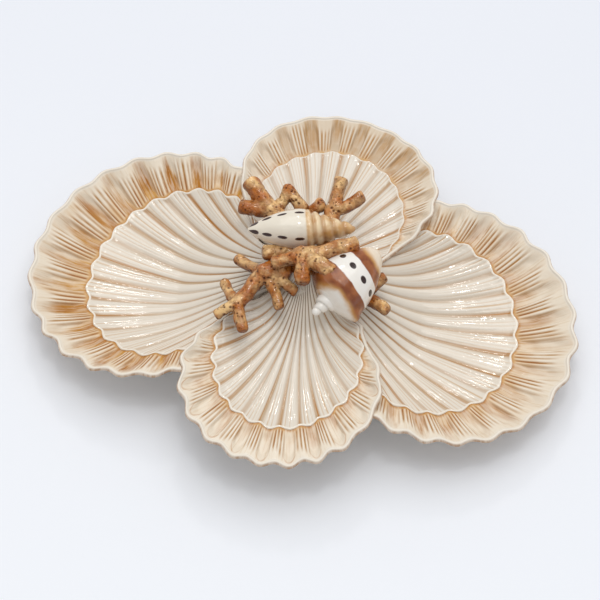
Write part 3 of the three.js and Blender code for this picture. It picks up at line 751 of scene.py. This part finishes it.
# Soft round spot of a given half-size on the surface, 1 inside
def spot(along, turn, atAlong, atTurn, halfAlong, halfTurn):
    gap = (turn - atTurn + np.pi) % (2 * np.pi) - np.pi
    far = ((along - atAlong) / halfAlong) ** 2 + (gap / halfTurn) ** 2
    return 1 - smoothStep(0.75, 1.15, far)


# Cone shell: a pointed body with rows of dashes, then a spire pinched along a spiral seam
def conePiece():
    size = {"tip": (-42.5, 11, 70), "spire": (28.5, 33.5, 67), "radius": 14.2, "sides": 240, "rows": 320,
            "spireAt": 0.54, "spireLong": 0.46, "whorls": 5.0, "quicken": 0.85, "pinch": 0.1, "bulge": 0.05,
            "dashRows": (56, -27, -112, 141), "dashTwist": 0.25, "dashLong": 0.046, "dashWide": 0.6,
            "dashes": ((0.055, 0.6), (0.175, 0.26), (0.315, 0.17), (0.475, 0.15))}
    base = axisFrame(size["tip"], size["spire"], -1.0)
    turn = np.linspace(2 * np.pi, 0, size["sides"], endpoint=False)[:, None]
    along = 0.003 + 0.994 * np.linspace(0, 1, size["rows"])[None, :]
    profile = curveThrough([0, 0.03, 0.1, 0.22, 0.36, 0.47, 0.53, 0.6, 0.72, 0.85, 0.95, 1],
                           [0.06, 0.2, 0.42, 0.7, 0.92, 1, 0.97, 0.86, 0.66, 0.44, 0.26, 0.08], along)
    wound = np.clip((along - size["spireAt"]) / size["spireLong"], 0, 1) ** size["quicken"]
    wind = size["whorls"] * wound + turn / (2 * np.pi)
    spire = smoothStep(0.53, 0.58, along)
    pinch = np.abs(np.cos(np.pi * wind)) ** 3 * spire
    radius = size["radius"] * profile * (1 - size["pinch"] * pinch + size["bulge"] * spire * (1 - pinch))
    radius = radius * (1 + 0.006 * waves(along * 40, turn * 2, 31))
    points = ringPoints(base, along + 0 * turn, radius, turn + 0 * along)
    dashes = 0 * radius
    for row in size["dashRows"]:
        for at, spread in size["dashes"]:
            side = math.radians(row) - size["dashTwist"] * (at - 0.2)
            mark = spot(along, turn, at, side, size["dashLong"], spread * size["dashWide"])
            dashes = np.maximum(dashes, mark)
    honey = smoothStep(0.525, 0.545, along + 0.006 * np.sin(turn * 2))
    values = {"dash": dashes, "honey": honey, "pinch": pinch}
    return turnedObject("coneShell", points, *axisEnds(base), values, {"honey": [0, 1]})


# Cone: ivory body, honey spire with darker seams, brown dashes
def coneMaterial():
    tone = palette(body=(236, 227, 210), cloud=(224, 208, 184), spire=(242, 219, 180), honey=(208, 158, 96),
                   seam=(168, 112, 56), dash=(54, 24, 17))
    material, tree, shader = newMaterial("coneGlaze")
    times = sumsIn(tree)[0]
    dash, honey, pinch = attributes(tree, "dash", "honey", "pinch")
    cloud = rampNode(tree, noiseNode(tree, objectPoint(tree), 90.0, 3.0), 0.35, 0.7)
    spire = mixNode(tree, cloud, tone["spire"], tone["honey"])
    spire = mixNode(tree, times(pinch, 0.5), spire, tone["seam"])
    body = mixNode(tree, times(cloud, 0.3), tone["body"], tone["cloud"])
    base = mixNode(tree, honey, body, spire)
    base = mixNode(tree, dash, base, tone["dash"])
    glazeShader(tree, shader, base, 0.16)
    return material


finishPiece(conePiece(), coneMaterial(), "cone_glaze", "cone_shell")


# A spire's whorls over the distance from its tip: a ball, then rounded rings that widen, wound as one spiral
def whorlRadius(far, turn):
    size = {"ball": 3.0, "whorls": 4, "pitch": 4.6, "slow": 0.15, "half": 2.7, "halfGrow": 0.3,
            "first": 2.05, "grow": 0.1, "round": 0.5}
    radius = np.sqrt(np.maximum(size["ball"] ** 2 - (far - size["ball"]) ** 2, 0.0))
    for k in range(size["whorls"]):
        wound = k + turn / (2 * np.pi)
        middle = size["ball"] + size["pitch"] * wound + size["slow"] * wound ** 2
        half = size["half"] + size["halfGrow"] * wound
        bulge = np.sqrt(np.maximum(1 - ((far - middle) / half) ** 2, 0.0))
        ring = size["first"] * np.exp(size["grow"] * middle) - size["round"] * half * (1 - bulge)
        radius = np.maximum(radius, ring * (bulge > 0))
    return radius


# Banded snail: a round body with one corner, joined to its spire; the band values follow the stripes
def snailPiece():
    size = {"apex": (16.7, -34.6, 55), "end": (48.4, 20, 66.4), "radius": 22.0, "sides": 260, "rows": 320,
            "corner": 4.0, "cornerAt": 0.285, "cornerLong": 0.06, "cornerWide": 0.55,
            "dots": 10, "dotsAt": 0.6, "firstDot": -52, "dotLong": 0.034, "dotWide": 0.15}
    base = axisFrame(size["apex"], size["end"], 1.0)
    turn = np.linspace(0, 2 * np.pi, size["sides"], endpoint=False)[:, None]
    along = 0.002 + 0.996 * np.linspace(0, 1, size["rows"])[None, :] ** 1.2
    lower = np.maximum(np.sin(turn), 0.0)
    upper = np.maximum(-np.sin(turn), 0.0)
    early = along + 0.02 * lower * (1 - smoothStep(0.28, 0.4, along))
    body = curveThrough([0.17, 0.2, 0.23, 0.26, 0.29, 0.33, 0.42, 0.52, 0.64, 0.76, 0.88, 0.96, 1],
                        [0.05, 0.27, 0.52, 0.72, 0.87, 0.97, 1, 0.95, 0.83, 0.68, 0.46, 0.26, 0.08],
                        np.clip(early, 0.17, 1)) * smoothStep(0.165, 0.18, early)
    aside = (turn - np.pi / 2 + np.pi) % (2 * np.pi) - np.pi
    corner = size["corner"] * np.exp(-(aside / size["cornerWide"]) ** 2)
    radius = size["radius"] * body + corner * np.exp(-((along - size["cornerAt"]) / size["cornerLong"]) ** 2)
    radius = np.maximum(radius, whorlRadius(along * base[2], turn))
    points = ringPoints(base, along + 0 * turn, radius, turn + 0 * along)
    slant = 0.04 * np.sin(turn) * smoothStep(0.36, 0.46, along)
    band = along + slant + (0.09 * upper + 0.03 * lower) * (1 - smoothStep(0.3, 0.42, along))
    dots = 0 * radius
    for i in range(size["dots"]):
        at = math.radians(size["firstDot"] + 360 / size["dots"] * i)
        dots = np.maximum(dots, spot(band, turn, size["dotsAt"], at, size["dotLong"], size["dotWide"]))
    values = {"dots": dots, "along": band}
    return turnedObject("bandedSnail", points, *axisEnds(base), values, {"along": [0, 1]})


# Snail: ivory spire, rust, an ivory stripe with dots, rust again, and a pale end, with amber where they meet
def snailMaterial():
    tone = palette(ivory=(244, 240, 233), shade=(232, 222, 206), rust=(128, 64, 26), paleRust=(166, 98, 50),
                   amber=(204, 150, 82), end=(238, 221, 198), dot=(42, 19, 13))
    material, tree, shader = newMaterial("snailGlaze")
    times, plus = sumsIn(tree)[:2]
    dots, along = attributes(tree, "dots", "along")
    cloud = rampNode(tree, noiseNode(tree, objectPoint(tree), 110.0, 3.0), 0.35, 0.7)
    shake = plus(along, times(cloud, 0.012))
    ivory = mixNode(tree, times(cloud, 0.25), tone["ivory"], tone["shade"])
    rust = mixNode(tree, cloud, tone["rust"], tone["paleRust"])
    base = mixNode(tree, rampNode(tree, shake, 0.275, 0.325), ivory, tone["amber"])
    base = mixNode(tree, rampNode(tree, shake, 0.305, 0.35), base, rust)
    base = mixNode(tree, rampNode(tree, shake, 0.46, 0.475), base, ivory)
    base = mixNode(tree, rampNode(tree, shake, 0.70, 0.715), base, rust)
    base = mixNode(tree, rampNode(tree, shake, 0.8, 0.85), base, tone["amber"])
    base = mixNode(tree, rampNode(tree, shake, 0.83, 0.9), base, tone["end"])
    base = mixNode(tree, dots, base, tone["dot"])
    glazeShader(tree, shader, base, 0.2)
    return material


finishPiece(snailPiece(), snailMaterial(), "snail_glaze", "banded_snail")
print("snail shells built")

# Coral: each sprig's joints, then its limbs with the radius at each end
sprigs = {
    "coral_centre": (
        {"root": (2, 0, 60), "fork": (1, -4, 75), "left": (-16, -11, 71), "stub": (5.5, -20, 72),
         "low": (23, -12, 77.5), "high": (31.5, 15, 75)},
        [("root", "fork", 10, 7), ("fork", "left", 5.6, 4.2), ("fork", "stub", 5.6, 4.8),
         ("fork", "low", 5.6, 4.6), ("fork", "high", 5.5, 5.2)]),
    "coral_front_left": (
        {"root": (-13, -8, 60), "fork": (-24, -14, 60), "tip": (-45, -3, 52), "mid": (-35, -39, 54),
         "left": (-50, -21.5, 47), "low": (-47, -48, 49), "front": (-27, -56, 51), "drop": (-8, -32, 51),
         "inner": (-1, -19, 54)},
        [("root", "fork", 8, 6), ("fork", "tip", 4.6, 3.6), ("fork", "mid", 5.4, 4.6),
         ("mid", "left", 4, 3.1), ("mid", "low", 4.2, 3.1), ("mid", "front", 4.4, 3.5),
         ("fork", "drop", 4.6, 3.3), ("fork", "inner", 4.6, 3.3)]),
    "coral_left_stub": (
        {"root": (-12, 8, 58), "tip": (-26, 2.5, 60)}, [("root", "tip", 7, 5.2)]),
    "coral_back_left": (
        {"root": (-13, 17, 56.5), "fork": (-30, 37, 58), "high": (-52, 52, 65), "low": (-53, 36, 59),
         "rise": (-28, 43, 61), "arch": (-25, 54, 67), "foot": (-13, 45, 61)},
        [("root", "fork", 6, 5.6), ("fork", "high", 5.6, 5.8), ("fork", "low", 5, 4.8),
         ("fork", "rise", 5, 3.8), ("rise", "arch", 3.8, 4), ("arch", "foot", 4, 4.4)]),
    "coral_back_middle": (
        {"root": (-3, 20, 53), "bend": (-7, 47, 56), "tip": (-1, 52, 60)},
        [("root", "bend", 5, 4.2), ("bend", "tip", 4.2, 4.1)]),
    "coral_back_right": (
        {"root": (10, 18, 54), "fork": (8, 48, 61), "high": (9, 68, 70), "low": (25, 60, 68)},
        [("root", "fork", 6, 5), ("fork", "high", 4.8, 4.3), ("fork", "low", 4.6, 4.1)]),
    "coral_right": (
        {"root": (41, 0, 40), "upper": (54, 12, 47), "lower": (62, -12, 46)},
        [("root", "upper", 5.4, 3.7), ("root", "lower", 5.4, 3.5)]),
}
limb = {"sides": 24, "rows": 22, "capRows": 6, "bow": 0.09, "blunt": 0.75, "square": 0.45, "fat": 1.05,
        "lump": 0.11, "knob": 0.2, "leastKnob": 0.2, "swell": 0.1, "slim": 0.06}


# One limb: rings from a round start to a blunt end, with a slight bow and lumpy thickness
def limbRings(start, end, startRadius, endRadius, seed):
    start, end = np.array(start, float), np.array(end, float)
    axis = end - start
    length = np.linalg.norm(axis)
    axis = axis / length
    side = np.cross(axis, (0.31, 0.52, 0.79))  # any direction that no limb runs along
    side = side / np.linalg.norm(side)
    up = np.cross(axis, side)
    rng = np.random.default_rng(seed)
    bow = rng.uniform(-limb["bow"], limb["bow"], 2) * length
    cap = np.linspace(0.12, 1, limb["capRows"]) * np.pi / 2
    at = np.concatenate([-startRadius * np.cos(cap), np.linspace(0, length, limb["rows"])[1:-1],
                         length + endRadius * limb["blunt"] * np.sin(cap)])
    radius = np.concatenate([startRadius * np.sin(cap),
                             startRadius + (endRadius - startRadius) * np.linspace(0, 1, limb["rows"])[1:-1],
                             endRadius * np.cos(cap * 0.98) ** limb["square"]])
    turn = np.linspace(0, 2 * np.pi, limb["sides"], endpoint=False)[:, None]
    ring = np.cos(turn) * startRadius, np.sin(turn) * startRadius
    lumps = waves(at[None, :] * 0.3 + ring[0] * 0.3, ring[1] * 0.3, seed)
    knobs = waves(at[None, :] * 0.8 + ring[0] * 0.7, ring[1] * 0.7, seed + 1)
    knobs = np.maximum(knobs, limb["leastKnob"])
    swell = limb["swell"] * smoothStep(0.6, 1.0, at / length) - limb["slim"]
    spread = radius * (limb["fat"] + limb["lump"] * lumps + limb["knob"] * knobs + swell)
    middle = np.clip(at / length, 0, 1)
    curve = (4 * middle * (1 - middle))[:, None] * (bow[0] * side + bow[1] * up)
    line = start + at[:, None] * axis + curve
    points = line[None] + spread[..., None] * (np.cos(turn)[..., None] * side + np.sin(turn)[..., None] * up)
    return points, line[0] - axis * startRadius * 0.02, line[-1] + axis * endRadius * 0.03


# How deep each point lies in a pit: 1 at a pit's centre, 0 a radius away along the surface
def pitDepth(points, normals, centres, rng):
    size = {"radius": (0.6, 1.5), "near": (2.0, 3.0), "floor": 0.35}
    depth = np.zeros(len(points))
    for centre in centres:
        radius = rng.uniform(*size["radius"])
        offset = points - centre
        flat = offset - (offset * normals).sum(1)[:, None] * normals
        near = 1 - smoothStep(*size["near"], np.linalg.norm(offset, axis=1))
        inside = 1 - smoothStep(size["floor"], 1.0, np.linalg.norm(flat, axis=1) / radius)
        depth = np.maximum(depth, near * inside)
    return depth


# A sprig: all its limbs in one mesh, fused and softened so that the forks run together, then pitted
def sprigPiece(name, joints, limbs, seed):
    detail = {"voxel": 0.45, "soften": 10, "softness": 0.5, "pits": 18, "pitDepth": 0.45}
    rng = np.random.default_rng(seed + 3)
    points, quads, fans, centres, base = [], [], [], [], 0
    for i, (a, b, startRadius, endRadius) in enumerate(limbs):
        rings, first, last = limbRings(joints[a], joints[b], startRadius, endRadius, seed + 7 * i)
        columns, rows = rings.shape[:2]
        column = rng.integers(0, columns, detail["pits"])
        row = rng.integers(limb["capRows"], rows, detail["pits"])
        centres.append(rings[column, row])
        quads.append(gridFaces(columns, rows, True, False)[:, ::-1] + base)
        fans.append(endFans(columns, rows, base))
        points.append(np.concatenate([rings.reshape(-1, 3), [first, last]]))
        base = base + columns * rows + 2
    piece = meshObject(name, np.concatenate(points), np.concatenate(quads), np.concatenate(fans), {}, None)
    fuse = piece.modifiers.new("fuse", "REMESH")
    fuse.mode = "VOXEL"
    fuse.voxel_size = detail["voxel"] * mm
    fuse.use_smooth_shade = True
    soften = piece.modifiers.new("soften", "SMOOTH")
    soften.factor = detail["softness"]
    soften.iterations = detail["soften"]
    fused = bpy.data.meshes.new_from_object(piece.evaluated_get(bpy.context.evaluated_depsgraph_get()))
    piece.modifiers.clear()
    piece.data = fused
    at, normals = np.empty((2, len(fused.vertices) * 3), np.float32)
    fused.vertices.foreach_get("co", at)
    fused.vertices.foreach_get("normal", normals)
    at, normals = at.reshape(-1, 3) / mm, normals.reshape(-1, 3)
    depth = pitDepth(at, normals, np.concatenate(centres), rng)
    at = at - detail["pitDepth"] * depth[:, None] * normals
    fused.vertices.foreach_set("co", (at * mm).astype(np.float32).ravel())
    # Store the pits' depth, and how far each point faces up, which the glaze reads to paint shade underneath
    for key, value in (("pit", depth), ("upward", normals[:, 2])):
        layer = fused.attributes.new(key, "FLOAT", "POINT")
        layer.data.foreach_set("value", value.astype(np.float32))
    fused.update()
    return piece


# Coral: pale and warm patches, mottled, with painted shade on the undersides, with specks in warped cells and
# dark pits
def coralMaterial():
    tone = palette(pale=(241, 199, 138), warm=(187, 108, 32), mottle=(134, 64, 8), burnt=(150, 74, 14),
                   under=(104, 46, 4), speck=(120, 54, 12), pit=(78, 28, 4))
    material, tree, shader = newMaterial("coralGlaze")
    times, plus, less = sumsIn(tree)
    coordinate = objectPoint(tree)
    pit, upward = attributes(tree, "pit", "upward")
    broad = rampNode(tree, noiseNode(tree, coordinate, 85.0, 3.0), 0.36, 0.64)
    mottle = rampNode(tree, noiseNode(tree, coordinate, 260.0, 3.0), 0.4, 0.62)
    base = mixNode(tree, broad, tone["pale"], tone["warm"])
    base = mixNode(tree, times(mottle, 0.4), base, tone["mottle"])
    burnt = rampNode(tree, noiseNode(tree, coordinate, 48.0, 2.0), 0.5, 0.7)
    base = mixNode(tree, times(burnt, 0.4), base, tone["burnt"])
    # Painted shade: faces that turn downwards are darkened towards deep brown
    under = less(1.0, rampNode(tree, upward, -0.35, 0.9))
    base = mixNode(tree, times(under, 0.85), base, tone["under"])
    warp = nodeOf(tree, "ShaderNodeVectorMath", operation="SCALE")
    warp.inputs["Scale"].default_value = 0.0022
    cloudy = nodeOf(tree, "ShaderNodeTexNoise")
    cloudy.inputs["Scale"].default_value = 330.0
    wire(tree, coordinate, cloudy.inputs["Vector"])
    wire(tree, cloudy.outputs["Color"], warp.inputs[0])
    shifted = nodeOf(tree, "ShaderNodeVectorMath", operation="ADD")
    wire(tree, coordinate, shifted.inputs[0])
    wire(tree, warp.outputs[0], shifted.inputs[1])
    cells = nodeOf(tree, "ShaderNodeTexVoronoi")
    cells.inputs["Scale"].default_value = 430.0
    wire(tree, shifted.outputs[0], cells.inputs["Vector"])
    chance = nodeOf(tree, "ShaderNodeSeparateColor")
    wire(tree, cells.outputs["Color"], chance.inputs[0])
    thick = rampNode(tree, noiseNode(tree, coordinate, 120.0, 1.0), 0.3, 0.65)
    odds = plus(chance.outputs[0], times(thick, 0.3))
    size = times(rampNode(tree, odds, 0.8, 1.35), 0.6)
    speck = times(rampNode(tree, less(size, cells.outputs["Distance"]), -0.02, 0.1), 0.5)
    base = mixNode(tree, speck, base, tone["speck"])
    base = mixNode(tree, times(pit, 0.85), base, tone["pit"])
    wire(tree, base, shader.inputs["Base Color"])
    wire(tree, times(less(1.0, pit), 0.5), shader.inputs["Coat Weight"])
    shader.inputs["Roughness"].default_value = 0.22
    shader.inputs["Specular IOR Level"].default_value = 0.3
    shader.inputs["Coat Roughness"].default_value = 0.06
    bump = nodeOf(tree, "ShaderNodeBump")
    bump.inputs["Strength"].default_value = 1.0
    bump.inputs["Distance"].default_value = 0.0013
    wire(tree, less(times(mottle, 0.6), speck), bump.inputs["Height"])
    wire(tree, bump.outputs[0], shader.inputs["Normal"])
    return material


coralGlaze = coralMaterial()
for number, (key, (joints, limbs)) in enumerate(sprigs.items()):
    words = key.split("_")
    title = words[0] + "".join(word.title() for word in words[1:])
    finishPiece(sprigPiece(title, joints, limbs, 100 + 40 * number), coralGlaze, "coral_glaze", key)
print("coral built")

# Table, lights and camera, in metres and degrees

# The table top is painted lighter near the camera and greyer far off: painted light, in place of the lamps'
# fall-off
table = {"half": 4.0, "near": (247, 250, 255), "far": (233, 236, 243), "fade": 0.45}
half = table["half"]
floorMesh = bpy.data.meshes.new("tableTop")
corners = [(-half, -half, 0), (half, -half, 0), (half, half, 0), (-half, half, 0)]
floorMesh.from_pydata(corners, [], [(0, 1, 2, 3)])
floor = bpy.data.objects.new("tableTop", floorMesh)
bpy.context.scene.collection.objects.link(floor)
paper, paperTree, paperShader = newMaterial("palePaper")
paperAxes = nodeOf(paperTree, "ShaderNodeSeparateXYZ")
wire(paperTree, objectPoint(paperTree), paperAxes.inputs[0])
# Painted light: the paper's tone runs from the bright near colour to the greyer far one
paintedLightFade = rampNode(paperTree, paperAxes.outputs["Y"], -table["fade"], table["fade"])
paperTone = mixNode(paperTree, paintedLightFade, colour(*table["near"]), colour(*table["far"]))
wire(paperTree, paperTone, paperShader.inputs["Base Color"])
paperShader.inputs["Roughness"].default_value = 0.9
paperShader.inputs["Specular IOR Level"].default_value = 0.1
floorMesh.materials.append(paper)


# A square panel of light at a place, turned to its aim
def softLight(name, at, aim, size, watts, tone):
    lamp = bpy.data.lights.new(name, "AREA")
    lamp.shape = "SQUARE"
    lamp.size = size
    lamp.energy = watts
    lamp.color = tone
    holder = bpy.data.objects.new(name, lamp)
    holder.location = at
    holder.rotation_euler = (Vector(aim) - Vector(at)).to_track_quat("-Z", "Y").to_euler()
    bpy.context.scene.collection.objects.link(holder)


softLight("backBox", (-0.35, 1.35, 1.5), (-0.1, 0, 0), 0.2, 2.6, (1.0, 0.99, 0.98))
softLight("overBox", (0.12, 0.0, 2.2), (0.05, 0, 0), 0.2, 2.8, (1.0, 0.99, 0.98))
softLight("ceiling", (0.0, 0.65, 2.8), (0, 0, 0), 3.0, 43.0, (1.0, 0.99, 0.97))

world = bpy.data.worlds.new("studio")
world.use_nodes = True
world.node_tree.nodes["Background"].inputs["Color"].default_value = (0.97, 0.98, 1.0, 1.0)
world.node_tree.nodes["Background"].inputs["Strength"].default_value = 0.54
bpy.context.scene.world = world

shot = {"azimuth": 15.47, "elevation": 56.95, "far": 1.3492, "aim": (0.00046, -0.00882, 0.028),
        "lens": 115.93, "sensor": 36.0}
az, el = math.radians(shot["azimuth"]), math.radians(shot["elevation"])
away = Vector((math.sin(az) * math.cos(el), -math.cos(az) * math.cos(el), math.sin(el)))
lens = bpy.data.cameras.new("photoCamera")
lens.lens = shot["lens"]
lens.sensor_width = shot["sensor"]
camera = bpy.data.objects.new("photoCamera", lens)
camera.location = Vector(shot["aim"]) + away * shot["far"]
camera.rotation_euler = (-away).to_track_quat("-Z", "Y").to_euler()
bpy.context.scene.collection.objects.link(camera)
bpy.context.scene.camera = camera
bpy.context.scene.view_settings.view_transform = "Standard"
print("scene set")
